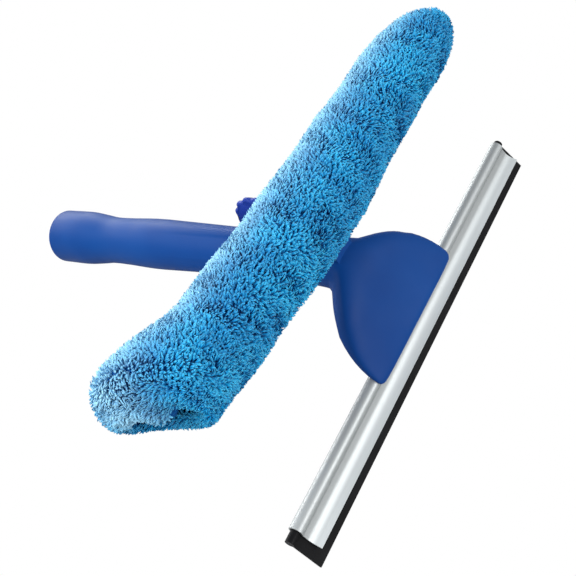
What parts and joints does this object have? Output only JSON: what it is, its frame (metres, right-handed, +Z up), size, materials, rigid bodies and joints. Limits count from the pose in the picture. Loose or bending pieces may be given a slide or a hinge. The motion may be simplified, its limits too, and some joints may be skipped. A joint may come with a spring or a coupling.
{
  "type": "window squeegee and scrubber",
  "caption": "Two-in-one window tool: a grip with a pole socket, a lockable tilting head, a rubber blade in an aluminium channel, and a microfibre scrubber sleeve on a T-bar.",
  "frame": {"origin": "centre of the bounding box at ground level, with the tool lying on its rubber edge and on the rim of its pole socket", "axes": "+X along the blade and the scrubber, +Y towards the pole socket, +Z up"},
  "size_m": [0.3048, 0.2962, 0.155],
  "materials": {
    "blue_plastic": "satin moulded",
    "knob_plastic": "satin moulded",
    "grey_plastic": "moulded",
    "black_rubber": "smooth",
    "microfibre": "deep looped pile",
    "aluminium": "satin anodised",
    "steel": "zinc plated",
    "brass": "machined"
  },
  "bodies": {
    "handle": {"grip": "blue_plastic", "tilt_bolt": "steel", "friction_disc": "black_rubber"},
    "tilting_head": {"head": "blue_plastic", "clamp_plate": "blue_plastic", "clamp_screw_1": "steel", "clamp_screw_2": "steel", "clamp_screw_3": "steel", "channel": "aluminium", "tbar_bracket": "blue_plastic", "bracket_screw_1": "steel", "bracket_screw_2": "steel", "tbar_screw_1": "steel", "tbar_screw_2": "steel", "tbar_core": "grey_plastic", "tbar_cap_1": "grey_plastic", "tbar_cap_2": "grey_plastic"},
    "blade_rubber": {"rubber_blade": "black_rubber"},
    "scrub_sleeve": {"sleeve": "microfibre"},
    "lock_washers": {"flat_washer": "steel", "spring_washer": "steel"},
    "knob": {"star_knob": "knob_plastic", "knob_nut": "brass", "knob_cap": "knob_plastic"}
  },
  "joints": [
    {"name": "head_tilt", "type": "hinge", "parent": "handle", "child": "tilting_head", "pos_m": [0.00195, -0.02636, 0.04769], "axis": [1, 0, 0], "range_deg": [-60, 60]},
    {"name": "lock_travel", "type": "slide", "parent": "handle", "child": "lock_washers", "axis": [1, 0, 0], "range_m": [0, 0.0025]},
    {"name": "knob_turn", "type": "hinge", "parent": "lock_washers", "child": "knob", "pos_m": [0.00195, -0.02636, 0.04769], "axis": [1, 0, 0], "range_deg": [0, 900]},
    {"name": "sleeve_pull", "type": "slide", "parent": "tilting_head", "child": "scrub_sleeve", "axis": [1, 0, 0], "range_m": [0, 0.295]},
    {"name": "rubber_slide", "type": "slide", "parent": "tilting_head", "child": "blade_rubber", "axis": [1, 0, 0], "range_m": [-0.3, 0.3]}
  ],
  "couplings": [
    {"joint": "knob_turn", "follows": "lock_travel", "rad_per_m": 6283.1}
  ]
}
